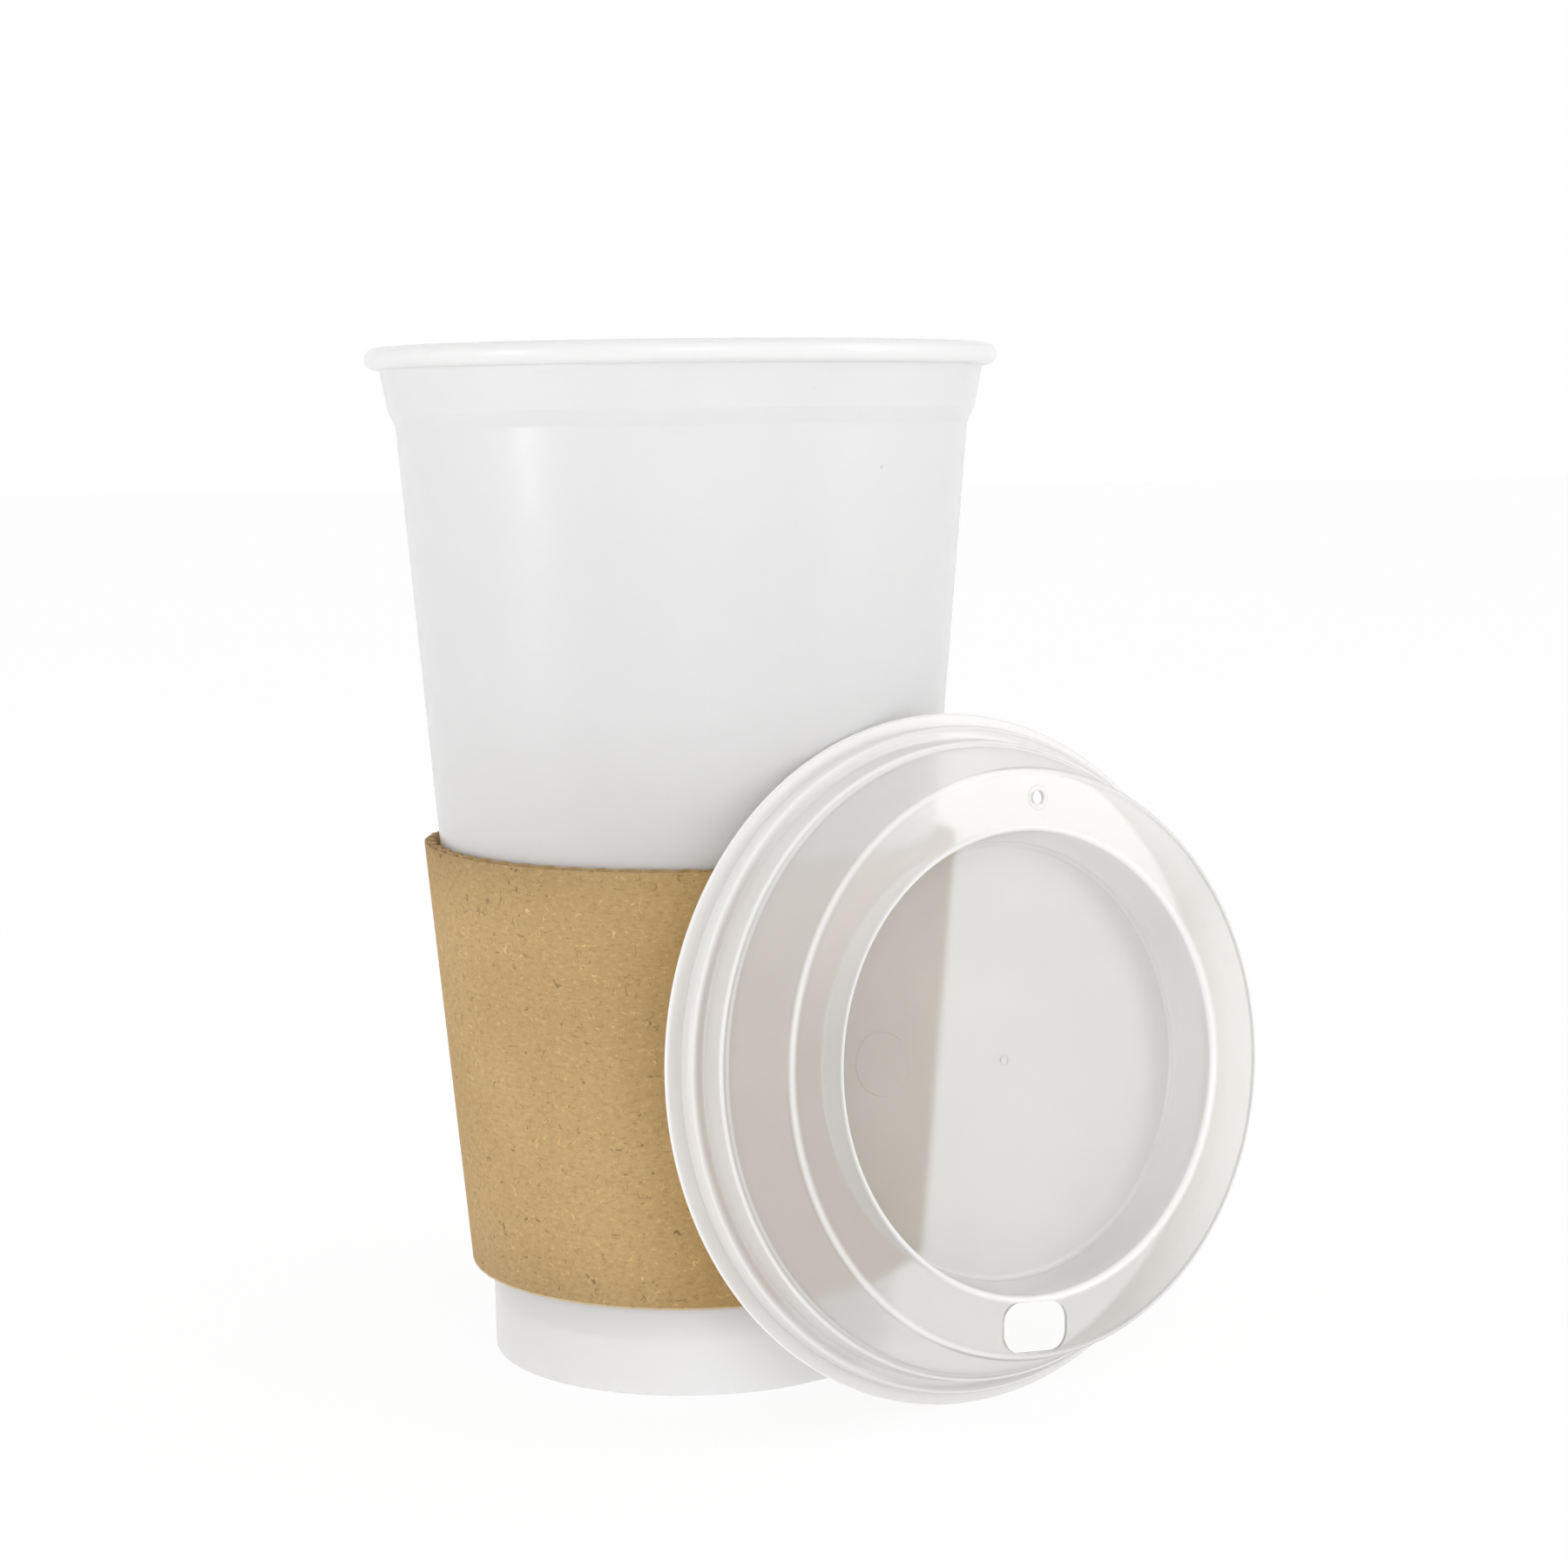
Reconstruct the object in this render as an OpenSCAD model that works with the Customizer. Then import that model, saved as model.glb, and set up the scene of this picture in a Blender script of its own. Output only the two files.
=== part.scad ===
// Stackable tumbler for hot drinks, with its corrugated sleeve and its dome lid.
// The tumbler stands on the table, the sleeve is wedged on its taper, and the
// lid is off: it stands on its edge and leans against the tumbler's wall.
// Millimetres. Origin: middle of the tumbler's foot, +Z up, front towards -Y.

/* [Tumbler] */
// Outer radius of the rim bead
rim_r = 45; // [43:0.5:50]
// Height from the table to the top of the rim
cup_h = 145.4; // [125:0.2:170]
// Height of the rim bead
rim_h = 3.1; // [2.8:0.1:3.6]
// How far the rim bead stands out past the neck below it
rim_out = 2.05; // [1.8:0.05:2.6]
// Wall thickness
cup_wall = 0.8; // [0.6:0.05:1]
// Height of the neck, from the ridge to the rim bead
neck_h = 5.8; // [4:0.1:9]
// Radius that the neck loses for each millimetre down
neck_taper = 0.18; // [0.1:0.01:0.22]
// Height of the ridge where the neck steps in to the body
ridge_h = 2.2; // [1.6:0.1:3]
// Radius that the wall loses across the ridge
ridge_step = 1.05; // [0.8:0.05:1.3]
// Radius that the body loses for each millimetre down
body_taper = 0.0828; // [0.06:0.002:0.09]
// Height of the heel, which is also the pitch of a nested stack
heel_h = 14; // [12.5:0.5:18]
// Height of the ledge between the heel and the body
ledge_h = 1.3; // [1:0.1:2]
// Depth of that ledge, on which the next tumbler's foot rests
ledge_step = 1.45; // [1.2:0.05:1.8]
// Radius that the heel loses from its top to the table
heel_taper = 0.2; // [0:0.05:0.4]
// Height of the floor's underside above the table
floor_rise = 8; // [4:0.5:10]
// Thickness of the floor
floor_t = 1; // [0.8:0.1:1.6]

/* [Sleeve] */
// Height of the sleeve's lower edge above the table
sleeve_z = 13.2; // [8:0.2:40]
// Height of the sleeve
sleeve_h = 61.9; // [45:0.1:80]
// Thickness of the outer liner
liner_t = 0.35; // [0.25:0.05:0.5]
// Thickness of the fluted paper
flute_t = 0.25; // [0.2:0.05:0.35]
// Depth of the flutes, over both faces of the fluted paper
flute_depth = 1.2; // [0.9:0.05:1.6]
// Number of flutes around the sleeve
flute_count = 58; // [48:1:66]
// Gap between the flutes and the tumbler
sleeve_fit = 0.05; // [0.04:0.01:0.2]
// Glue line between the flutes and the liner
glue_gap = 0.02; // [0.02:0.01:0.05]
// How far the left fold stands out at the sleeve's top
fold_left_top = 0.7; // [0:0.1:1.2]
// How far the left fold stands out at the sleeve's foot
fold_left_foot = 0.1; // [0:0.1:1]
// How far the right fold stands out
fold_right = 1.5; // [0:0.1:2]
// Angle over which a fold dies away to each side
fold_spread = 17; // [8:1:30]

/* [Lid] */
// Wall thickness of the lid
lid_wall = 0.5; // [0.4:0.05:0.6]
// Gap all round between the lid and the rim bead when it is on
lid_fit = 0.25; // [0.2:0.05:0.4]
// How far the snap ring reaches in below the rim bead
snap_in = 0.35; // [0.3:0.05:0.45]
// Width of the flange past the snap ring
flange_w = 2.1; // [1.6:0.1:2.6]
// Height of the flange's rolled edge
flange_h = 0.9; // [0.7:0.1:1.1]
// Height of the band that grips the rim
grip_h = 4; // [3.8:0.1:4.6]
// Width of the band's flat top
grip_top_w = 1.9; // [1.6:0.1:2.2]
// Height of the shoulder above the flange
shoulder_a = 7.6; // [6.6:0.1:9]
// Width of the ledge inside the shoulder
shoulder_w = 0.9; // [0.7:0.1:1.2]
// Height of the lid's top ring above the flange
ring_a = 17.8; // [15:0.1:22]
// Outer radius of the top ring
ring_out_r = 39.3; // [37.5:0.1:40.5]
// Inner radius of the top ring
ring_in_r = 31; // [28:0.1:31.5]
// Depth of the recess inside the ring
recess_d = 7.3; // [4:0.1:10]
// Radius that the recess loses from the ring to its floor
recess_taper = 1.4; // [0.5:0.1:2.5]
// Width of the sip opening, around the ring
sip_w = 10.6; // [8:0.1:12]
// Depth of the sip opening, across the ring
sip_d = 6.6; // [4.5:0.1:6.8]
// Radius from the lid's axis to the middle of the sip opening
sip_r = 35; // [34.8:0.1:35.2]
// Corner radius of the sip opening
sip_corner = 2.6; // [1:0.1:3]
// Diameter of the vent
vent_d = 1.9; // [1:0.1:3]
// Radius from the lid's axis to the vent
vent_r = 35.4; // [34.5:0.1:36]
// Height of the raised collar around the vent
collar_h = 0.25; // [0.15:0.05:0.4]
// Width of that collar
collar_w = 0.7; // [0.5:0.1:1]
// Outer radius of the plain raised ring in the recess
mark_r = 4.4; // [3:0.1:6]
// Width of that ring's raised line
mark_w = 0.4; // [0.3:0.05:0.8]
// Distance from the lid's axis to that ring
mark_off = 20; // [8:0.5:20]
// Height of that ring, and half the height of the stud at the lid's middle
mark_h = 0.15; // [0.1:0.05:0.3]
// Radius of the stud
stud_r = 0.6; // [0.4:0.1:1.2]

/* [Lean] */
// Direction that the lid faces, turned from the front towards the right
lid_turn = 32; // [20:0.1:50]
// How far the lid leans back from upright
lid_lean = 7.1; // [3:0.1:15]
// Distance of the lid's middle to the right of the tumbler's axis, along the lid
lid_shift = 16.4; // [5:0.1:30]
// Turn of the lid about its own axis
lid_spin = -6; // [-180:1:180]
// Gap between the lid's edge and the wall that it leans on
lean_gap = 0.25; // [0.2:0.05:0.4]

/* [Hidden] */
$fn = 180;
arc_steps = 6;
frosted = [0.93, 0.93, 0.92];
clear_white = [0.95, 0.95, 0.94, 0.75];
kraft = [0.78, 0.62, 0.42];
kraft_dark = [0.66, 0.5, 0.32];

// Heights up the tumbler
rim_z = cup_h - rim_h;
ridge_top_z = rim_z - neck_h;
ridge_z = ridge_top_z - ridge_h;
ledge_z = heel_h + ledge_h;
floor_z = floor_rise + floor_t;

// Outer radii of the tumbler's wall
neck_top_r = rim_r - rim_out;
neck_foot_r = neck_top_r - neck_taper * neck_h;
body_top_r = neck_foot_r - ridge_step;
function body_r(z) = body_top_r - body_taper * (ridge_z - z);
heel_top_r = body_r(ledge_z) - ledge_step;
heel_foot_r = heel_top_r - heel_taper;

// Rounding of the tumbler's bends
hair = 0.01;
rim_round = rim_h / 2 - hair;
lip_w = rim_out + cup_wall;
lip_round = min(1.1, lip_w - rim_round - hair);
under_rim_round = 0.25;
neck_round = 0.5;
bend_round = 0.9;
ledge_round = 0.5;
floor_round = 1.5;
floor_under_round = 0.75;
foot_round = 0.2;

// The sleeve's layers, from the tumbler's wall outwards
sleeve_top_z = sleeve_z + sleeve_h;
flute_in = sleeve_fit;
flute_out = flute_in + flute_depth;
liner_in = flute_out + glue_gap;
liner_out = liner_in + liner_t;
liner_steps = flute_count * 3;
wave_steps = 10;

// The lid's outer radii and heights in its own frame, flange downwards
grip_r = rim_r + lid_fit + lid_wall;
snap_r = rim_r - snap_in + lid_fit + lid_wall;
flange_r = snap_r + flange_w;
snap_a = flange_h * 1.7;
snap_flare = 0.1;
foot_wall_r = grip_r - grip_top_w;
shoulder_in = 0.4;
shoulder_r = foot_wall_r - shoulder_in;
recess_a = ring_a - recess_d;
recess_r = ring_in_r - recess_taper;
edge_round = flange_h / 2;

// Rounding of the lid's bends
recess_round = 0.9;
ring_in_round = 1.1;
ring_out_round = 1.5;
crease_round = 0.4;
shoulder_round = 0.7;
step_round = 0.3;
grip_round = 1.1;
snap_round = 0.6;
flange_crease = 0.2;

// Height kept free above and below a part that the lid's edge passes
pass_h = 1;

function unit(v) = v / norm(v);
function xy(v) = [v[0], v[1]];

// Points of the arc that rounds the corner b between a and c
function corner(a, b, c, rad) =
    let (u = unit(a - b))
    let (w = unit(c - b))
    let (half = acos(u * w) / 2)
    let (mid = b + unit(u + w) * rad / sin(half))
    let (start = b + u * rad / tan(half))
    let (end = b + w * rad / tan(half))
    let (a0 = atan2(start[1] - mid[1], start[0] - mid[0]))
    let (a1 = atan2(end[1] - mid[1], end[0] - mid[0]))
    let (turn = a1 - a0 > 180 ? a1 - a0 - 360 : a1 - a0 < -180 ? a1 - a0 + 360 : a1 - a0)
    [for (i = [0:arc_steps]) mid + rad * [cos(a0 + turn * i / arc_steps), sin(a0 + turn * i / arc_steps)]];

// A path of [x, y, rounding] corners, with each corner rounded as it says
function rounded(path) = [
    for (i = [0:len(path) - 1])
        each (i == 0 || i == len(path) - 1 || path[i][2] == 0)
            ? [xy(path[i])]
            : corner(xy(path[i - 1]), xy(path[i]), xy(path[i + 1]), path[i][2])
];

// The same path moved sideways by t, to its right as it runs
function beside(p, t) = [
    for (i = [0:len(p) - 1])
        let (back = i == 0 ? [0, 0] : unit(p[i] - p[i - 1]))
        let (ahead = i == len(p) - 1 ? [0, 0] : unit(p[i + 1] - p[i]))
        let (along = unit(back + ahead))
        p[i] + t * [along[1], -along[0]]
];

function reversed(p) = [for (i = [len(p) - 1:-1:0]) p[i]];

// Half section of the tumbler: floor's underside, foot, outer wall, rim, inner wall, floor
function tumbler_section() = rounded([
    [0, floor_rise, 0],
    [heel_foot_r - cup_wall, floor_rise, floor_under_round],
    [heel_foot_r - cup_wall, 0, foot_round],
    [heel_foot_r, 0, foot_round],
    [heel_top_r, heel_h, ledge_round],
    [body_r(ledge_z), ledge_z, ledge_round],
    [body_top_r, ridge_z, bend_round],
    [neck_foot_r, ridge_top_z, bend_round],
    [neck_top_r, rim_z, under_rim_round],
    [rim_r, rim_z, rim_round],
    [rim_r, cup_h, rim_round],
    [neck_top_r - cup_wall, cup_h, lip_round],
    [neck_top_r - cup_wall, rim_z, neck_round],
    [neck_foot_r - cup_wall, ridge_top_z, bend_round],
    [body_top_r - cup_wall, ridge_z, bend_round],
    [body_r(ledge_z) - cup_wall, ledge_z, ledge_round],
    [heel_top_r - cup_wall, heel_h, ledge_round],
    [heel_top_r - cup_wall - heel_taper / 2, floor_z, floor_round],
    [0, floor_z, 0],
]);

module tumbler() {
    color(frosted)
        rotate_extrude()
            polygon(tumbler_section());
}

// How far the sleeve's folds push it out, at an angle and a share of its height
function fold_out(angle, up) =
    let (left = fold_left_foot + (fold_left_top - fold_left_foot) * up)
    let (from_left = abs(abs(angle) - 180))
    let (from_right = abs(angle))
    left * exp(-pow(from_left / fold_spread, 2)) + fold_right * exp(-pow(from_right / fold_spread, 2));

// A point of the sleeve, off the tumbler's wall by so much
function sleeve_point(angle, up, off) =
    let (z = sleeve_z + sleeve_h * up)
    let (r = body_r(z) + off + fold_out(angle, up))
    [r * cos(angle), r * sin(angle), z];

// A closed band with an outer and an inner side, each a list of [angle, offset]
module band(outer, inner) {
    n = len(outer);
    rings = [
        for (p = outer) sleeve_point(p[0], 0, p[1]),
        for (p = outer) sleeve_point(p[0], 1, p[1]),
        for (p = inner) sleeve_point(p[0], 1, p[1]),
        for (p = inner) sleeve_point(p[0], 0, p[1]),
    ];
    polyhedron(rings, [
        for (k = [0:3], i = [0:n - 1])
            let (j = (i + 1) % n)
            let (a = k * n)
            let (b = ((k + 1) % 4) * n)
            each [[a + i, b + i, b + j], [a + i, b + j, a + j]]
    ]);
}

module sleeve_liner() {
    angles = [for (i = [0:liner_steps - 1]) -180 + 360 * i / liner_steps];
    color(kraft)
        band([for (a = angles) [a, liner_out]], [for (a = angles) [a, liner_in]]);
}

// Offset of the fluted paper's middle from the tumbler's wall
function wave(angle) =
    (flute_in + flute_out) / 2 + (flute_depth - flute_t) / 2 * cos(flute_count * angle);

// How much further off the wave's slope puts a face of the paper
function wave_half(angle) =
    let (slope = (flute_depth - flute_t) / 2 * flute_count * sin(flute_count * angle)
        / body_r(sleeve_z + sleeve_h / 2))
    flute_t / 2 * sqrt(1 + slope * slope);

module sleeve_fluting() {
    steps = flute_count * wave_steps;
    angles = [for (i = [0:steps - 1]) -180 + 360 * i / steps];
    color(kraft_dark)
        band(
            [for (a = angles) [a, min(wave(a) + wave_half(a), flute_out)]],
            [for (a = angles) [a, max(wave(a) - wave_half(a), flute_in)]]
        );
}

// The lid's outer skin as a half section, from the middle of the recess to the flange
function lid_skin() = rounded([
    [0, recess_a, 0],
    [recess_r, recess_a, recess_round],
    [ring_in_r, ring_a, ring_in_round],
    [ring_out_r, ring_a, ring_out_round],
    [shoulder_r - shoulder_w, shoulder_a, crease_round],
    [shoulder_r, shoulder_a, shoulder_round],
    [foot_wall_r, grip_h, step_round],
    [grip_r, grip_h, grip_round],
    [grip_r, snap_a, snap_round],
    [snap_r, flange_h, flange_crease],
    [flange_r - edge_round, flange_h, 0],
]);

// The rolled edge that closes the flange, as a half round
function flange_edge() = [
    for (i = [1:arc_steps * 2])
        let (t = 90 - 180 * i / (arc_steps * 2))
        [flange_r - edge_round + edge_round * cos(t), edge_round + edge_round * sin(t)]
];

module lid_shell() {
    skin = lid_skin();
    inside = beside([for (i = [0:len(skin) - 2]) skin[i]], lid_wall);
    rotate_extrude()
        polygon(concat(
            skin,
            flange_edge(),
            [[snap_r - lid_wall + snap_flare, 0]],
            reversed([[0, recess_a - lid_wall], for (i = [1:len(inside) - 1]) inside[i]])
        ));
}

// The sip opening's outline: a rectangle with round corners
module sip_outline() {
    flat_w = sip_w - 2 * sip_corner;
    flat_d = sip_d - 2 * sip_corner;
    square([sip_w, flat_d], center = true);
    square([flat_w, sip_d], center = true);
    for (x = [-1, 1], y = [-1, 1])
        translate([x * flat_w / 2, y * flat_d / 2])
            circle(r = sip_corner, $fn = 48);
}

module vent_collar() {
    translate([0, vent_r, ring_a - lid_wall / 2])
        cylinder(h = lid_wall / 2 + collar_h, r = vent_d / 2 + collar_w, $fn = 48);
}

module vent_hole() {
    translate([0, vent_r, ring_a - lid_wall * 2])
        cylinder(h = lid_wall * 2 + collar_h * 2, r = vent_d / 2, $fn = 48);
}

// Plain raised ring and stud on the recess floor
module recess_marks() {
    translate([-mark_off, 0, recess_a - lid_wall / 2])
        difference() {
            cylinder(h = lid_wall / 2 + mark_h, r = mark_r, $fn = 96);
            translate([0, 0, -lid_wall])
                cylinder(h = lid_wall * 2 + mark_h * 2, r = mark_r - mark_w, $fn = 96);
        }
    translate([0, 0, recess_a - lid_wall / 2])
        cylinder(h = lid_wall / 2 + mark_h * 2, r = stud_r, $fn = 48);
}

module lid_flat() {
    difference() {
        union() {
            lid_shell();
            vent_collar();
            recess_marks();
        }
        translate([0, -sip_r, ring_a - lid_wall * 2])
            linear_extrude(height = lid_wall * 4)
                sip_outline();
        vent_hole();
    }
}

// Outer radius of what stands on the table, at a height
function outer_r(z) =
    z > cup_h ? 0 :
    z > rim_z - pass_h ? rim_r :
    z > ridge_z ? neck_top_r :
    z > sleeve_z - pass_h && z < sleeve_top_z + pass_h ? body_r(z) + liner_out + fold_left_top :
    z > heel_h ? body_r(z) :
    heel_top_r;

// Where the lid's middle stands when its edge is on the table and leans on that outline
edge_r = flange_r - edge_round;
lid_mid_z = edge_r * cos(lid_lean) + edge_round - edge_round * sin(lid_lean);
lid_mid_out = max([
    for (t = [0:0.5:359.5])
        let (across = lid_shift + edge_r * cos(t))
        let (z = lid_mid_z + edge_r * sin(t) * cos(lid_lean) + edge_round * sin(lid_lean))
        let (reach = outer_r(z) + edge_round + lean_gap)
        let (back = edge_r * sin(t) * sin(lid_lean) - edge_round * cos(lid_lean))
        if (abs(across) < reach)
            sqrt(reach * reach - across * across) + back
]);

module lid() {
    color(clear_white)
        rotate([0, 0, lid_turn])
            translate([lid_shift, -lid_mid_out, lid_mid_z])
                rotate([90 - lid_lean, 0, 0])
                    rotate([0, 0, lid_spin])
                        lid_flat();
}

tumbler();
sleeve_liner();
sleeve_fluting();
lid();
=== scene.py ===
import math

import bmesh
import bpy
from mathutils import Matrix, Vector


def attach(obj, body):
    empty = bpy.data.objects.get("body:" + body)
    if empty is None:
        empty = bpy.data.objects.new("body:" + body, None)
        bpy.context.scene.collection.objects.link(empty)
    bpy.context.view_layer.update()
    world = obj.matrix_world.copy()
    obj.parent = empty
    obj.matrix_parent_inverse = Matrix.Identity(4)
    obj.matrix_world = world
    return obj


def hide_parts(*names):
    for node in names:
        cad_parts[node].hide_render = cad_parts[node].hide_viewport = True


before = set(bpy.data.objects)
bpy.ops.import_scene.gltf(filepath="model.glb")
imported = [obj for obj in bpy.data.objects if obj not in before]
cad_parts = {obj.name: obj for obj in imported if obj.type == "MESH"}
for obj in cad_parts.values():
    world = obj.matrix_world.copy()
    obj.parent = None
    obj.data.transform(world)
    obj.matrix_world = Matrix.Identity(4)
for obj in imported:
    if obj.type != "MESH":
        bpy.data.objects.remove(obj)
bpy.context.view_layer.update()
MM = 0.001


# Camera: found by fitting the tumbler's outline in the photo
photo_px, focal_px = 1800, 3513.5
camera_pitch, camera_yaw, camera_roll = 0.1181, 0.0318, -0.0106
camera_place = Vector((0, -0.4426, 0.13466))


def make_camera():
    pitch, yaw, roll = camera_pitch, camera_yaw, camera_roll
    ahead = Vector((math.sin(yaw) * math.cos(pitch), math.cos(yaw) * math.cos(pitch), -math.sin(pitch)))
    right = ahead.cross(Vector((0, 0, 1))).normalized()
    up = right.cross(ahead)
    x = right * math.cos(roll) + up * math.sin(roll)
    y = up * math.cos(roll) - right * math.sin(roll)
    data = bpy.data.cameras.new("camera")
    data.sensor_width = 36
    data.lens = focal_px / photo_px * data.sensor_width
    data.clip_start = 0.01
    data.clip_end = 50
    cam = bpy.data.objects.new("camera", data)
    m = Matrix((x, y, -ahead)).transposed().to_4x4()
    m.translation = camera_place
    cam.matrix_world = m
    bpy.context.scene.collection.objects.link(cam)
    bpy.context.scene.camera = cam


make_camera()

# Sizes of the tumbler, as in the part's source, in millimetres
rim_r, cup_h, rim_h, rim_out, cup_wall = 45, 145.4, 3.1, 2.05, 0.8
neck_h, neck_taper, ridge_h, ridge_step = 5.8, 0.18, 2.2, 1.05
body_taper, ledge_step, heel_taper = 0.0828, 1.45, 0.2
rim_z = cup_h - rim_h
ridge_top_z = rim_z - neck_h
ridge_z = ridge_top_z - ridge_h
heel_h, ledge_z, floor_rise, floor_z = 14, 15.3, 8, 9
neck_top_r = rim_r - rim_out
neck_foot_r = neck_top_r - neck_taper * neck_h
body_top_r = neck_foot_r - ridge_step


def body_r(z):
    return body_top_r - body_taper * (ridge_z - z)


heel_top_r = body_r(ledge_z) - ledge_step
heel_foot_r = heel_top_r - heel_taper

# Sizes of the sleeve
sleeve_z, sleeve_h = 13.2, 61.9
flute_in, flute_depth, flute_t, flute_count = 0.05, 1.2, 0.25, 58
flute_out = flute_in + flute_depth
glue_gap, liner_t = 0.02, 0.35
liner_in = flute_out + glue_gap
liner_out = liner_in + liner_t
liner_low = 0.3
fold_width, right_fold, left_fold_foot, left_fold_top = 17, 1.5, 0.1, 0.7
sleeve_mid_r = 38

# Sizes of the lid, in its own frame with the flange downwards
lid_wall, lid_fit, snap_out = 0.5, 0.25, 0.4
flange_h, flange_w, grip_top_w, foot_wall_lean, shoulder_w = 0.9, 2.1, 1.9, 0.4, 0.9
grip_r = rim_r + lid_fit + lid_wall
snap_r = rim_r + snap_out
edge_round = flange_h / 2
flange_r = snap_r + flange_w
foot_wall_r = grip_r - grip_top_w
shoulder_r = foot_wall_r - foot_wall_lean
foot_wall_a, shoulder_a = 4, 7.6
ring_a, recess_a = 17.8, 10.5
ring_out_r, ring_in_r, recess_r = 39.3, 31, 29.6
sip_w, sip_d, sip_round, sip_y = 10.6, 6.6, 2.6, -35
vent_r, vent_y, vent_bead_r = 0.95, 35.4, 1.35
mark_r, mark_x, stud_r = 4.2, -20, 0.6
lid_turn, lid_lean, lid_shift, lid_spin, lean_gap = 32, 7.1, 16.4, -6, 0.25

# Heights and sideways places where painted shade and painted light change, in millimetres
shade_from_z, shade_full_z = 108, 74
heel_dim_x, heel_lit_x = -26, 10
lid_shade_from_x, lid_shade_full_x = -14, 12
lid_lit_x, lid_lit_x_run, lid_lit_y, lid_lit_y_run = 16, 20, 2, 34


def outer_r(z):
    if z > cup_h:
        return 0
    if z > rim_z - 1:
        return rim_r
    if z > ridge_z:
        return neck_top_r
    if sleeve_z - 1 < z < sleeve_z + sleeve_h + 1:
        return body_r(z) + liner_out + left_fold_top
    return body_r(z) if z > heel_h else heel_top_r


def lid_matrix():
    lean = math.radians(lid_lean)
    edge_r = flange_r - edge_round
    mid_z = edge_r * math.cos(lean) + edge_round - edge_round * math.sin(lean)
    outs = []
    for half_deg in range(720):
        t = math.radians(half_deg / 2)
        across = lid_shift + edge_r * math.cos(t)
        z = mid_z + edge_r * math.sin(t) * math.cos(lean) + edge_round * math.sin(lean)
        reach = outer_r(z) + edge_round + lean_gap
        if abs(across) < reach:
            back = edge_r * math.sin(t) * math.sin(lean) - edge_round * math.cos(lean)
            outs.append(math.sqrt(reach * reach - across * across) + back)
    return (
        Matrix.Rotation(math.radians(lid_turn), 4, "Z")
        @ Matrix.Translation(Vector((lid_shift, -max(outs), mid_z)) * MM)
        @ Matrix.Rotation(math.radians(90 - lid_lean), 4, "X")
        @ Matrix.Rotation(math.radians(lid_spin), 4, "Z")
    )


# Curves and meshes
def rounded(path, steps=9):
    out = []
    for i, (x, y, r) in enumerate(path):
        if r == 0 or i in (0, len(path) - 1):
            out.append(Vector((x, y)))
            continue
        b = Vector((x, y))
        u = (Vector(path[i - 1][:2]) - b).normalized()
        w = (Vector(path[i + 1][:2]) - b).normalized()
        half = math.acos(max(-1, min(1, u.dot(w)))) / 2
        mid = b + (u + w).normalized() * r / math.sin(half)
        start = b + u * r / math.tan(half) - mid
        end = b + w * r / math.tan(half) - mid
        a0 = math.atan2(start.y, start.x)
        turn = (math.atan2(end.y, end.x) - a0 + math.pi) % (2 * math.pi) - math.pi
        for k in range(steps + 1):
            a = a0 + turn * k / steps
            out.append(mid + Vector((math.cos(a), math.sin(a))) * r)
    return out


def beside(p, t):
    out = []
    for i, q in enumerate(p):
        back = (q - p[i - 1]).normalized() if i else Vector((0, 0))
        ahead = (p[i + 1] - q).normalized() if i < len(p) - 1 else Vector((0, 0))
        along = (back + ahead).normalized()
        out.append(q + Vector((along.y, -along.x)) * t)
    return out


def supported(p, near=0.18, longest=7):
    """The path with points close to both ends of each long stretch, so that it shades flat."""
    out = [p[0]]
    for a, b in zip(p, p[1:]):
        d = (b - a).length
        if d > near * 3:
            cuts = [near / d]
            n = max(1, int(math.ceil((d - 2 * near) / longest)))
            cuts += [(near + (d - 2 * near) * k / n) / d for k in range(1, n)]
            cuts.append(1 - near / d)
            out += [a.lerp(b, c) for c in cuts]
        out.append(b)
    return out


def mesh_object(name, verts, faces, matrix=None, smooth=True):
    me = bpy.data.meshes.new(name)
    me.from_pydata([tuple(v) for v in verts], [], faces)
    me.validate()
    bm = bmesh.new()
    bm.from_mesh(me)
    bmesh.ops.remove_doubles(bm, verts=bm.verts, dist=1e-7)
    bmesh.ops.recalc_face_normals(bm, faces=bm.faces)
    bm.to_mesh(me)
    bm.free()
    if matrix is not None:
        me.transform(matrix)
    for f in me.polygons:
        f.use_smooth = smooth
    ob = bpy.data.objects.new(name, me)
    bpy.context.scene.collection.objects.link(ob)
    return ob


def lathe(name, profile, segs=256, matrix=None, wobble=None):
    """A closed solid turned about Z from a half section that starts and ends on the axis."""
    verts, rows, faces = [], [], []
    for x, z in profile:
        if x < 1e-4:
            rows.append([len(verts)] * segs)
            verts.append(Vector((0, 0, z)) * MM)
            continue
        row = []
        for k in range(segs):
            a = 2 * math.pi * k / segs
            r, h = (x, z) if wobble is None else wobble(x, z, a)
            row.append(len(verts))
            verts.append(Vector((r * math.cos(a), r * math.sin(a), h)) * MM)
        rows.append(row)
    for i in range(len(rows) - 1):
        p, q = rows[i], rows[i + 1]
        for k in range(segs):
            j = (k + 1) % segs
            loop = [p[k], p[j], q[j], q[k]]
            face = [v for n, v in enumerate(loop) if v not in loop[:n]]
            if len(face) > 2:
                faces.append(face)
    return mesh_object(name, verts, faces, matrix)


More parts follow.
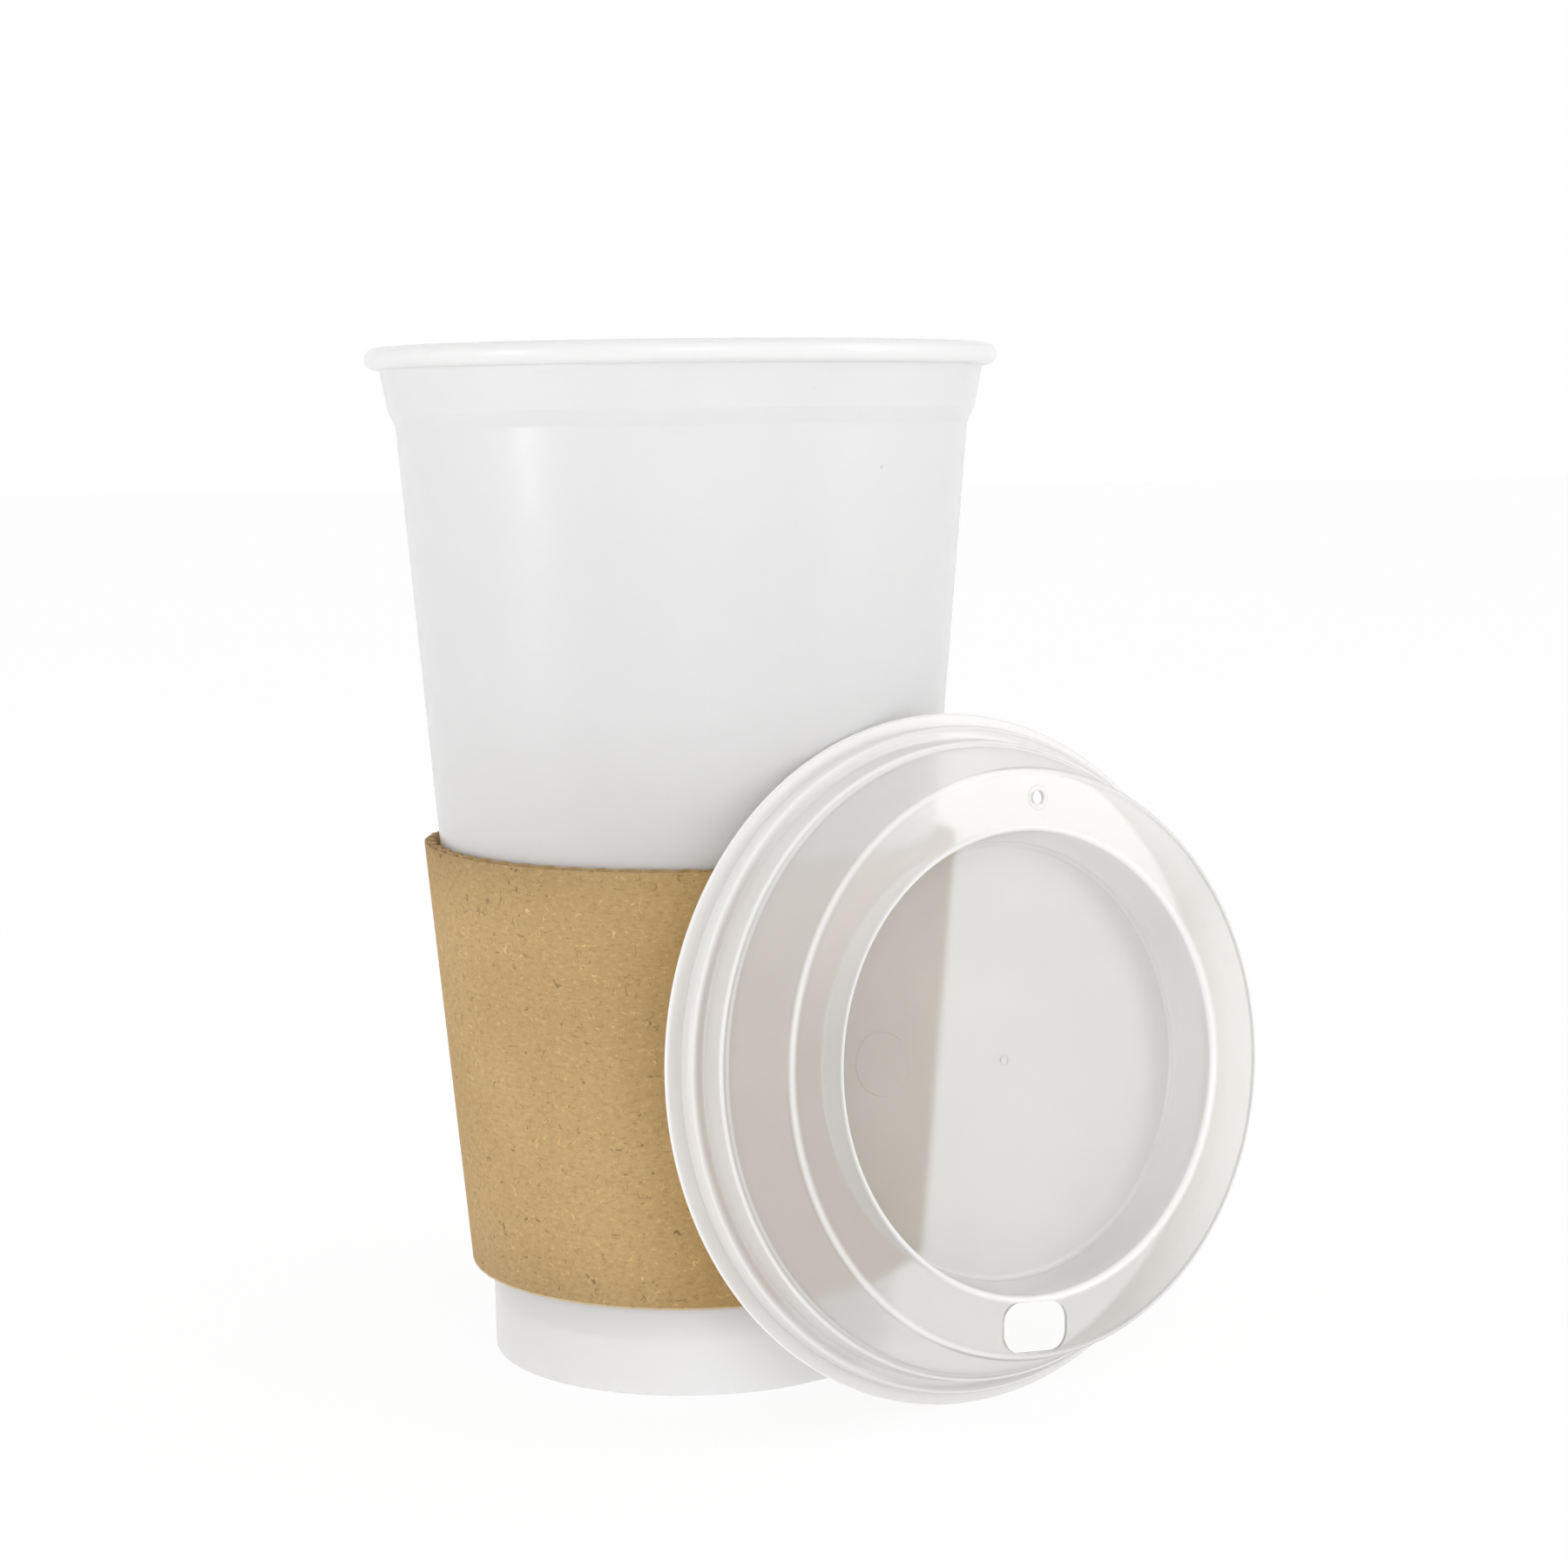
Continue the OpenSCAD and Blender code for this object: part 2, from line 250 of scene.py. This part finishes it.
# Node helpers
class Nodes:
    def __init__(self, name):
        self.mat = bpy.data.materials.new(name)
        self.mat.use_nodes = True
        self.tree = self.mat.node_tree
        self.tree.nodes.clear()
        self.out = self.tree.nodes.new("ShaderNodeOutputMaterial")
        self.coord = self.tree.nodes.new("ShaderNodeTexCoord").outputs["Object"]

    def put(self, socket, value):
        if isinstance(value, bpy.types.NodeSocket):
            self.tree.links.new(value, socket)
        elif value is not None:
            if isinstance(value, (tuple, list)) and len(value) == 3 and socket.type == "RGBA":
                value = (*value, 1)
            socket.default_value = value

    def add(self, kind, props=None, **inputs):
        n = self.tree.nodes.new(kind)
        for k, v in (props or {}).items():
            setattr(n, k, v)
        for k, v in inputs.items():
            self.put(n.inputs[k.replace("_", " ")], v)
        return n

    def noise(self, scale, detail=2, rough=0.5, vector=None, distortion=0):
        n = self.add("ShaderNodeTexNoise", Scale=scale, Detail=detail, Roughness=rough, Distortion=distortion)
        self.put(n.inputs["Vector"], vector or self.coord)
        return n.outputs["Fac"]

    def math(self, op, a, b=None, clamp=False):
        n = self.tree.nodes.new("ShaderNodeMath")
        n.operation = op
        n.use_clamp = clamp
        self.put(n.inputs[0], a)
        if b is not None:
            self.put(n.inputs[1], b)
        return n.outputs[0]

    def ramp(self, value, lo, hi, to_lo=0.0, to_hi=1.0, smooth=True):
        n = self.tree.nodes.new("ShaderNodeMapRange")
        n.interpolation_type = "SMOOTHSTEP" if smooth else "LINEAR"
        names = ("Value", "From Min", "From Max", "To Min", "To Max")
        for s, v in zip(names, (value, lo, hi, to_lo, to_hi)):
            self.put(n.inputs[s], v)
        return n.outputs["Result"]

    def mix(self, fac, a, b, blend="MIX"):
        n = self.tree.nodes.new("ShaderNodeMix")
        n.data_type = "RGBA"
        n.blend_type = blend
        self.put(n.inputs[0], fac)
        self.put(n.inputs[6], a)
        self.put(n.inputs[7], b)
        return n.outputs[2]

    def stretch(self, scale, turn=(0, 0, 0), offset=(0, 0, 0)):
        n = self.tree.nodes.new("ShaderNodeMapping")
        n.inputs["Scale"].default_value = scale
        n.inputs["Rotation"].default_value = turn
        n.inputs["Location"].default_value = offset
        self.tree.links.new(self.coord, n.inputs["Vector"])
        return n.outputs["Vector"]

    def parts(self):
        n = self.tree.nodes.new("ShaderNodeSeparateXYZ")
        self.tree.links.new(self.coord, n.inputs[0])
        return n.outputs

    def wrapped(self, radius, scale=(1, 1, 1)):
        """Distance round the tumbler, 0 and height, so that a pattern can follow the paper."""
        x, y, z = self.parts()
        angle = self.math("ARCTAN2", x, self.math("MULTIPLY", y, -1))
        around = self.math("MULTIPLY", angle, radius * scale[0])
        n = self.tree.nodes.new("ShaderNodeCombineXYZ")
        self.put(n.inputs[0], around)
        self.put(n.inputs[2], self.math("MULTIPLY", z, scale[2]))
        return n.outputs[0]

    def painted(self, name):
        n = self.tree.nodes.new("ShaderNodeAttribute")
        n.attribute_name = name
        return n.outputs["Fac"]

    def bump(self, height, distance, strength=1.0, normal=None):
        n = self.add("ShaderNodeBump", Height=height, Distance=distance, Strength=strength)
        if normal is not None:
            self.put(n.inputs["Normal"], normal)
        return n.outputs["Normal"]

    def surface(self, **inputs):
        n = self.add("ShaderNodeBsdfPrincipled", **inputs)
        self.tree.links.new(n.outputs[0], self.out.inputs["Surface"])
        return self.mat


def mix_shaders(tree, fac, a, b):
    mix = tree.nodes.new("ShaderNodeMixShader")
    if isinstance(fac, bpy.types.NodeSocket):
        tree.links.new(fac, mix.inputs[0])
    else:
        mix.inputs[0].default_value = fac
    tree.links.new(a, mix.inputs[1])
    tree.links.new(b, mix.inputs[2])
    return mix.outputs[0]


def speck_mask(m, scale, size, offset):
    """Small round specks, few and far apart."""
    v = m.add("ShaderNodeTexVoronoi", {"feature": "F1"}, Scale=scale, Randomness=1.0)
    m.put(v.inputs["Vector"], m.stretch((1, 1, 1), offset=offset))
    spot = m.ramp(v.outputs["Distance"], size, size * 0.55)
    patches = m.stretch((1, 1, 1), offset=(offset[1], offset[2], offset[0]))
    keep = m.ramp(m.noise(scale * 0.37, 1, vector=patches), 0.6, 0.66)
    return m.math("MULTIPLY", spot, keep)


def frosted_plastic():
    m = Nodes("frosted_plastic")
    cloud = m.noise(35, 3, 0.5)
    flow = m.noise(9, 2, 0.5, m.stretch((1, 1, 0.22)))
    base = m.mix(m.ramp(cloud, 0.35, 0.65), (0.945, 0.94, 0.94), (0.975, 0.97, 0.968))
    base = m.mix(m.ramp(flow, 0.35, 0.7), base, m.mix(0.5, base, (0.92, 0.918, 0.92)))
    side, _, up = m.parts()
    # Painted shade: the lower tumbler is darker, except on the heel's right side, which is left lit as
    # painted light.
    heel = m.ramp(up, (ledge_z + 0.2) * MM, (ledge_z - 0.8) * MM)
    lit = m.math("MULTIPLY", heel, m.ramp(side, heel_dim_x * MM, heel_lit_x * MM))
    shaded = m.math("SUBTRACT", m.ramp(up, shade_from_z * MM, shade_full_z * MM), lit, clamp=True)
    base = m.mix(shaded, base, (0.89, 0.885, 0.87), "MULTIPLY")
    rim = m.ramp(up, (rim_z - 1.1) * MM, (rim_z + 0.1) * MM)
    base = m.mix(rim, base, (0.965, 0.96, 0.955))
    specks = m.math("MULTIPLY", speck_mask(m, 95, 0.03, (0.031, 0.007, 0.019)), 0.45)
    base = m.mix(specks, base, (0.5, 0.48, 0.45))
    # The plastic is less clear, and so whiter, at the rim and the heel, and more on the heel's right side as
    # painted light.
    heel_thick_and_lit = m.math("ADD", m.math("MULTIPLY", heel, 0.2), m.math("MULTIPLY", lit, 0.5))
    thick_and_lit = m.math("MAXIMUM", m.math("MULTIPLY", rim, 0.5), heel_thick_and_lit)
    clear = m.ramp(thick_and_lit, 0.0, 1.0, 0.35, 0.1, False)
    rough = m.ramp(m.noise(160, 3, 0.6), 0.3, 0.7, 0.36, 0.46)
    fine = m.noise(2600, 2, 0.6)
    wave = m.noise(28, 2, 0.5, m.stretch((1, 1, 0.5)))
    normal = m.bump(fine, 0.00003, 0.35)
    normal = m.bump(wave, 0.0006, 0.25, normal)
    return m.surface(
        Base_Color=base, Roughness=rough, IOR=1.42, Normal=normal, Transmission_Weight=clear,
        Subsurface_Weight=1.0, Subsurface_Radius=(1.0, 1.0, 0.95), Subsurface_Scale=0.0012,
        Coat_Weight=0.6, Coat_Roughness=0.22,
    )


def translucent_white():
    """Thin milky plastic: half clear straight through, and white at its bends and at a glance."""
    m = Nodes("translucent_white")
    cloud = m.noise(40, 3, 0.5)
    base = m.mix(m.ramp(cloud, 0.35, 0.65), (0.62, 0.605, 0.585), (0.65, 0.635, 0.615))
    # Painted light: the lid is paler towards its right and its top.
    base = m.mix(m.painted("side_light"), base, (0.93, 0.92, 0.9))
    glance = m.add("ShaderNodeLayerWeight", Blend=0.5).outputs["Facing"]
    milky = m.math("MAXIMUM", m.painted("bend"), m.ramp(glance, 0.4, 0.95, 0, 0.6))
    base = m.mix(milky, base, (0.975, 0.97, 0.96))
    specks = m.math("MULTIPLY", speck_mask(m, 120, 0.028, (0.011, 0.043, 0.027)), 0.6)
    base = m.mix(specks, base, (0.42, 0.38, 0.34))
    solid = m.ramp(milky, 0.0, 1.0, 0.44, 0.88, False)
    solid = m.math("ADD", solid, specks, clamp=True)
    rough = m.ramp(m.noise(120, 3, 0.6), 0.3, 0.7, 0.3, 0.4)
    wave = m.noise(45, 2, 0.5)
    fine = m.noise(900, 2, 0.6)
    normal = m.bump(fine, 0.00002, 0.4)
    normal = m.bump(wave, 0.0004, 0.1, normal)
    m.surface(
        Base_Color=base, Roughness=rough, IOR=1.5, Normal=normal,
        Coat_Weight=0.5, Coat_Roughness=0.25, Coat_IOR=1.5,
    )
    milk = m.out.inputs["Surface"].links[0].from_socket
    through = m.add(
        "ShaderNodeBsdfRefraction", Color=(0.985, 0.98, 0.975), Roughness=0.22, IOR=1.15, Normal=normal,
    )
    mixed = mix_shaders(m.tree, solid, through.outputs[0], milk)
    m.tree.links.new(mixed, m.out.inputs["Surface"])
    return m.mat


def add_fibres(m, base, light):
    """Short thin fibres in five layers, some darker and some paler than the paper."""
    layers = ((0.42, 0.8), (1.45, 0.75), (0.4, 0.6), (1.5, 0.6), (0.3, 0.7))
    for k, (tone, amount) in enumerate(layers):
        place = m.stretch((1, 1, 1), (0.3 + k, 0.7 * k, 1.1 * k), (0.013 * k, 0.02, 0.01))
        hair = m.noise(230 + 70 * k, 1, 0.5, place, 1.2)
        line = m.ramp(m.math("ABSOLUTE", m.math("SUBTRACT", hair, 0.5)), 0.014, 0.004)
        short = m.ramp(m.noise(520 + 40 * k, 1, 0.5, place), 0.6, 0.66)
        mask = m.math("MULTIPLY", m.math("MULTIPLY", line, short), amount)
        base = m.mix(mask, base, tuple(min(1, c * tone) for c in light))
    return base


def kraft(name, light, dark):
    m = Nodes(name)
    flat = m.wrapped(sleeve_mid_r * MM)
    mottle = m.noise(650, 4, 0.7, flat)
    broad = m.noise(34, 3, 0.5)
    grain = m.noise(1900, 3, 0.7, m.wrapped(sleeve_mid_r * MM, (0.45, 1, 1)))
    base = m.mix(m.ramp(broad, 0.3, 0.7), light, m.mix(0.45, light, dark))
    base = m.mix(m.ramp(mottle, 0.45, 0.72, 0, 0.6), base, dark)
    base = m.mix(m.ramp(grain, 0.52, 0.74, 0, 0.75), base, tuple(min(1, c * 1.25) for c in light))
    base = m.mix(m.ramp(grain, 0.46, 0.25, 0, 0.8), base, tuple(c * 0.7 for c in dark))
    base = add_fibres(m, base, light)
    for scale, size, offset in ((150, 0.05, (0.02, 0.05, 0.03)), (330, 0.06, (0.01, 0.02, 0.07))):
        specks = m.math("MULTIPLY", speck_mask(m, scale, size, offset), 0.8)
        base = m.mix(specks, base, (0.12, 0.08, 0.045))
    side, _, up = m.parts()
    # Painted shade: towards +X, beside the lid, the paper is made darker and more golden.
    lid_shade_mask = m.math("MULTIPLY", m.ramp(side, lid_shade_from_x * MM, lid_shade_full_x * MM), 0.75)
    base = m.mix(lid_shade_mask, base, (0.89, 0.82, 0.6), "MULTIPLY")
    cut_edge = m.math("MULTIPLY", m.ramp(up, (sleeve_z + 0.32) * MM, (sleeve_z + 0.22) * MM), 0.5)
    base = m.mix(cut_edge, base, (0.86, 0.74, 0.52))
    height = m.math("ADD", m.math("MULTIPLY", grain, 0.5), m.math("MULTIPLY", mottle, 0.5))
    normal = m.bump(height, 0.00012, 0.5)
    return m.surface(Base_Color=base, Roughness=0.82, IOR=1.45, Normal=normal, Specular_IOR_Level=0.25)


# Tumbler
def tumbler_profile():
    rr = rim_h / 2 - 0.01
    return supported(rounded([
        (0, floor_rise, 0),
        (heel_foot_r - cup_wall, floor_rise, 0.75),
        (heel_foot_r - cup_wall, 0, 0.2),
        (heel_foot_r, 0, 0.2),
        (heel_top_r, heel_h, 0.5),
        (body_r(ledge_z), ledge_z, 0.5),
        (body_top_r, ridge_z, 0.9),
        (neck_foot_r, ridge_top_z, 0.9),
        (neck_top_r, rim_z, 0.25),
        (rim_r, rim_z, rr),
        (rim_r, cup_h, rr),
        (neck_top_r - cup_wall, cup_h, 1.1),
        (neck_top_r - cup_wall, rim_z, 0.5),
        (neck_foot_r - cup_wall, ridge_top_z, 0.9),
        (body_top_r - cup_wall, ridge_z, 0.9),
        (body_r(ledge_z) - cup_wall, ledge_z, 0.5),
        (heel_top_r - cup_wall, heel_h, 0.5),
        (heel_top_r - cup_wall - 0.1, floor_z, 1.5),
        (0, floor_z, 0),
    ]))


def keep_mesh(ob, material, slot, *nodes):
    ob.data.materials.clear()
    ob.data.materials.append(material)
    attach(ob, "root")
    if nodes:
        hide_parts(*nodes)


frosted = frosted_plastic()
cup = lathe("tumbler_wall", tumbler_profile(), 240)
keep_mesh(cup, frosted, "frosted_plastic", "tumbler")


# Sleeve
def fold_out(deg, up):
    """How far the two flat-pack folds push the paper out; the one at 180 degrees grows with height."""
    grown = left_fold_foot + (left_fold_top - left_fold_foot) * up
    from_left = abs(abs(deg) - 180)
    at_left = grown * math.exp(-((from_left / fold_width) ** 2))
    return at_left + right_fold * math.exp(-((deg / fold_width) ** 2))


def sleeve_vertex(deg, up, off):
    z = sleeve_z + sleeve_h * up
    r = body_r(z) + off + fold_out(deg, up)
    a = math.radians(deg)
    return Vector((r * math.cos(a), r * math.sin(a), z)) * MM


def band(name, angles, outer, inner, rows, top=1.0):
    """A closed band round the tumbler; outer and inner give the offset at an angle and height share."""
    n = len(angles)
    verts, faces = [], []
    ups = [top * k / (rows - 1) for k in range(rows)]
    loops = [(up, outer) for up in ups] + [(up, inner) for up in reversed(ups)]
    for up, side in loops:
        verts += [sleeve_vertex(a, up, side(a, up)) for a in angles]
    for k in range(len(loops)):
        p, q = k * n, ((k + 1) % len(loops)) * n
        faces += [[p + i, p + (i + 1) % n, q + (i + 1) % n, q + i] for i in range(n)]
    ob = mesh_object(name, verts, faces)
    for f in ob.data.polygons:
        z = [ob.data.vertices[v].co.z for v in f.vertices]
        f.use_smooth = max(z) - min(z) > 1e-5
    return ob


wave_height = (flute_depth - flute_t) / 2


def wave(deg):
    return (flute_in + flute_out) / 2 + wave_height * math.cos(math.radians(flute_count * deg))


def wave_half(deg):
    mid_r = body_r(sleeve_z + sleeve_h / 2)
    slope = wave_height * flute_count * math.sin(math.radians(flute_count * deg)) / mid_r
    return flute_t / 2 * math.sqrt(1 + slope * slope)


ripple_depth = 0.03


def ripple(deg):
    return ripple_depth * math.cos(math.radians(flute_count * deg))


liner_mat = kraft("kraft_liner", (0.53, 0.362, 0.172), (0.42, 0.27, 0.115))
# The fluting's browns are darker than the liner's: painted shade for its deep hollows.
flute_mat = kraft("kraft_fluting", (0.47, 0.32, 0.16), (0.36, 0.23, 0.1))

n_liner = flute_count * 12
liner = band(
    "sleeve_paper", [-180 + 360 * i / n_liner for i in range(n_liner)],
    lambda a, up: liner_out - ripple_depth + ripple(a), lambda a, up: liner_in,
    6, 1 - liner_low / sleeve_h,
)
keep_mesh(liner, liner_mat, "kraft_liner", "sleeve_liner")
n_flute = flute_count * 20
fluting = band(
    "sleeve_flutes", [-180 + 360 * i / n_flute for i in range(n_flute)],
    lambda a, up: min(wave(a) + wave_half(a), flute_out),
    lambda a, up: max(wave(a) - wave_half(a), flute_in), 2,
)
keep_mesh(fluting, flute_mat, "kraft_fluting", "sleeve_fluting")


# Lid
def lid_profile():
    skin = rounded([
        (0, recess_a, 0),
        (recess_r, recess_a, 0.9),
        (ring_in_r, ring_a, 1.1),
        (ring_out_r, ring_a, 1.5),
        (shoulder_r - shoulder_w, shoulder_a, 0.4),
        (shoulder_r, shoulder_a, 0.7),
        (foot_wall_r, foot_wall_a, 0.3),
        (grip_r, foot_wall_a, 1.1),
        (grip_r, flange_h * 1.7, 0.6),
        (snap_r, flange_h, 0.2),
        (flange_r - edge_round, flange_h, 0),
    ])
    inside = beside(skin[:-1], lid_wall)
    inside[0] = Vector((0, recess_a - lid_wall))
    edge = []
    mid = Vector((flange_r - edge_round, edge_round))
    for i in range(1, 19):
        t = math.radians(90 - 180 * i / 18)
        edge.append(mid + Vector((math.cos(t), math.sin(t))) * edge_round)
    foot = [Vector((snap_r - lid_wall + 0.1, 0))]
    return supported(skin + edge + foot + inside[::-1])


def cutter(name, outline, z0, z1):
    n = len(outline)
    verts = [Vector((x, y, z)) * MM for z in (z0, z1) for x, y in outline]
    faces = [list(range(n))[::-1], list(range(n, 2 * n))]
    faces += [[i, (i + 1) % n, n + (i + 1) % n, n + i] for i in range(n)]
    return mesh_object(name, verts, faces, smooth=False)


def apply_boolean(ob, tool, operation):
    mod = ob.modifiers.new("bool", "BOOLEAN")
    mod.operation = operation
    mod.solver = "EXACT"
    mod.object = tool
    dg = bpy.context.evaluated_depsgraph_get()
    me = bpy.data.meshes.new_from_object(ob.evaluated_get(dg))
    ob.modifiers.clear()
    ob.data = me
    bpy.data.objects.remove(tool)


def circle(x, y, r, n=48):
    return [(x + r * math.cos(2 * math.pi * k / n), y + r * math.sin(2 * math.pi * k / n)) for k in range(n)]


def sip_outline():
    w, d, c = sip_w / 2, sip_d / 2, sip_round
    pts = []
    for cx, cy, a0 in ((w - c, d - c, 0), (c - w, d - c, 90), (c - w, c - d, 180), (w - c, c - d, 270)):
        for k in range(13):
            a = math.radians(a0 + 90 * k / 12)
            pts.append((cx + c * math.cos(a), sip_y + cy + c * math.sin(a)))
    return pts


def low_ring(name, x, y, z, r_mid, half_w, h, segs=64):
    """A low round bead that stands on a flat face."""
    verts, faces = [], []
    prof = [(-half_w, -0.2), (-half_w, 0)] + [
        (-half_w * math.cos(math.radians(a)), h * math.sin(math.radians(a))) for a in range(15, 180, 15)
    ] + [(half_w, 0), (half_w, -0.2)]
    for k in range(segs):
        a = 2 * math.pi * k / segs
        for dr, dz in prof:
            r = r_mid + dr
            verts.append(Vector((x + r * math.cos(a), y + r * math.sin(a), z + dz)) * MM)
    n = len(prof)
    for k in range(segs):
        p, q = k * n, ((k + 1) % segs) * n
        faces += [[p + i, p + (i + 1) % n, q + (i + 1) % n, q + i] for i in range(n)]
    return mesh_object(name, verts, faces)


def make_lid():
    ob = lathe("lid_shell", lid_profile(), 256)
    low, high = ring_a - 1.5, ring_a + 1.5
    apply_boolean(ob, low_ring("vent_bead", 0, vent_y, ring_a, vent_bead_r, 0.4, 0.25, 40), "UNION")
    apply_boolean(ob, low_ring("mark_bead", mark_x, 0, recess_a, mark_r, 0.2, 0.06), "UNION")
    apply_boolean(ob, cutter("stud", circle(0, 0, stud_r, 24), recess_a - 0.25, recess_a + 0.3), "UNION")
    apply_boolean(ob, cutter("sip_tool", sip_outline(), low, high), "DIFFERENCE")
    apply_boolean(ob, cutter("vent_tool", circle(0, vent_y, vent_r), low, high), "DIFFERENCE")
    return ob


# Each moulded bend of the lid: radius, height, how far the white reaches and how white it is
bends = (
    (recess_r, recess_a, 0.45, 0.4), (ring_in_r, ring_a, 0.8, 1.0), (ring_out_r, ring_a, 0.6, 0.85),
    (shoulder_r - shoulder_w, shoulder_a, 0.4, 0.5), (shoulder_r, shoulder_a, 0.5, 0.9),
    (foot_wall_r, foot_wall_a, 0.4, 0.5), (grip_r, foot_wall_a, 0.7, 1.0),
    (snap_r, flange_h, 0.5, 0.7), (flange_r, edge_round, 0.5, 1.0),
)


def wall_white(r, a):
    """How white the plastic is between the bends: its walls are thicker than its flat faces."""
    if a < foot_wall_a + 0.1:
        return 0.7 * max(0.1, min(1, (r - foot_wall_r) / grip_top_w))
    if a < shoulder_a - 0.2:
        return 0.5
    if r < ring_in_r + 0.4:
        return max(0, 0.6 * (a - recess_a - 0.8) / (ring_a - recess_a))
    return 0.12 if a < ring_a - 1 else 0.03


def bend_white(x, y, a):
    r = math.hypot(x, y)
    near = [w * math.exp(-(((r - br) ** 2 + (a - ba) ** 2) / (s * s)) ** 2) for br, ba, s, w in bends]
    return max(near + [wall_white(r, a)])


def lid_light_paint(x, y, a):
    """Painted light: the lid is made paler towards its right and its top, but not on the floor of its recess.
    """
    if math.hypot(x, y) < recess_r and a < recess_a + 0.6:
        return 0
    return max(0, min(1, max((x - lid_lit_x) / lid_lit_x_run, (y - lid_lit_y) / lid_lit_y_run)))


def paint(ob, name, value):
    """Stores a value for each vertex from its place in the lid's own frame, in millimetres."""
    layer = ob.data.attributes.new(name, "FLOAT", "POINT")
    for i, v in enumerate(ob.data.vertices):
        layer.data[i].value = value(*(c / MM for c in v.co))


lid = make_lid()
paint(lid, "bend", bend_white)
# Painted light towards the lid's right and top, stored for each vertex.
paint(lid, "side_light", lid_light_paint)
lid.data.transform(lid_matrix())
for f in lid.data.polygons:
    f.use_smooth = True
lid.data.set_sharp_from_angle(angle=math.radians(38))
keep_mesh(lid, translucent_white(), "translucent_white", "lid")


# Floor, world and lights
def seen_rays(tree):
    """1 for rays that show the background: from the camera, in a reflection or through the plastic."""
    path = tree.nodes.new("ShaderNodeLightPath")
    total = path.outputs["Is Camera Ray"]
    for other in ("Is Glossy Ray", "Is Transmission Ray"):
        add = tree.nodes.new("ShaderNodeMath")
        add.operation = "ADD"
        add.use_clamp = True
        tree.links.new(total, add.inputs[0])
        tree.links.new(path.outputs[other], add.inputs[1])
        total = add.outputs[0]
    return total


def floor_material():
    m = Nodes("studio_floor")
    tone = m.mix(m.ramp(m.noise(3, 2), 0.3, 0.7), (0.93, 0.93, 0.93), (0.94, 0.94, 0.94))
    diffuse = m.add("ShaderNodeBsdfDiffuse", Color=tone)
    glow = m.add("ShaderNodeEmission", Color=(1, 1, 1), Strength=1.03)
    white = mix_shaders(m.tree, 0.86, diffuse.outputs[0], glow.outputs[0])
    plain = mix_shaders(m.tree, 0.6, diffuse.outputs[0], glow.outputs[0])
    m.tree.links.new(mix_shaders(m.tree, seen_rays(m.tree), plain, white), m.out.inputs["Surface"])
    return m.mat


floor_half = 6.0
corners = [Vector((x, y, 0)) * floor_half for x, y in ((-1, -1), (1, -1), (1, 1), (-1, 1))]
floor = mesh_object("floor", corners, [[0, 1, 2, 3]], smooth=False)
floor.data.materials.append(floor_material())


world_light, world_seen = 0.76, 1.0


def make_world():
    world = bpy.data.worlds.new("studio")
    bpy.context.scene.world = world
    world.use_nodes = True
    tree = world.node_tree
    tree.nodes.clear()
    out = tree.nodes.new("ShaderNodeOutputWorld")
    shaders = []
    for strength in (world_light, world_seen):
        n = tree.nodes.new("ShaderNodeBackground")
        n.inputs["Color"].default_value = (1, 1, 1, 1)
        n.inputs["Strength"].default_value = strength
        shaders.append(n.outputs[0])
    tree.links.new(mix_shaders(tree, seen_rays(tree), *shaders), out.inputs["Surface"])


make_world()


def area(name, place, target, size, power):
    data = bpy.data.lights.new(name, "AREA")
    data.shape = "RECTANGLE"
    data.size, data.size_y = size
    data.energy = power
    ob = bpy.data.objects.new(name, data)
    ob.location = place
    ob.rotation_mode = "QUATERNION"
    ob.rotation_quaternion = (Vector(target) - Vector(place)).to_track_quat("-Z", "Y")
    bpy.context.scene.collection.objects.link(ob)


area("strip_left", (-0.89, -0.46, 0.16), (0, 0, 0.1), (0.1, 0.3), 1.6)
area("softbox_right", (0.9, -0.35, 0.4), (0.03, 0, 0.06), (0.3, 0.8), 2.1)
area("card_front", (0.1, -1.0, 0.32), (0, 0, 0.03), (0.6, 0.3), 1.75)
bpy.context.scene.view_settings.view_transform = "Standard"
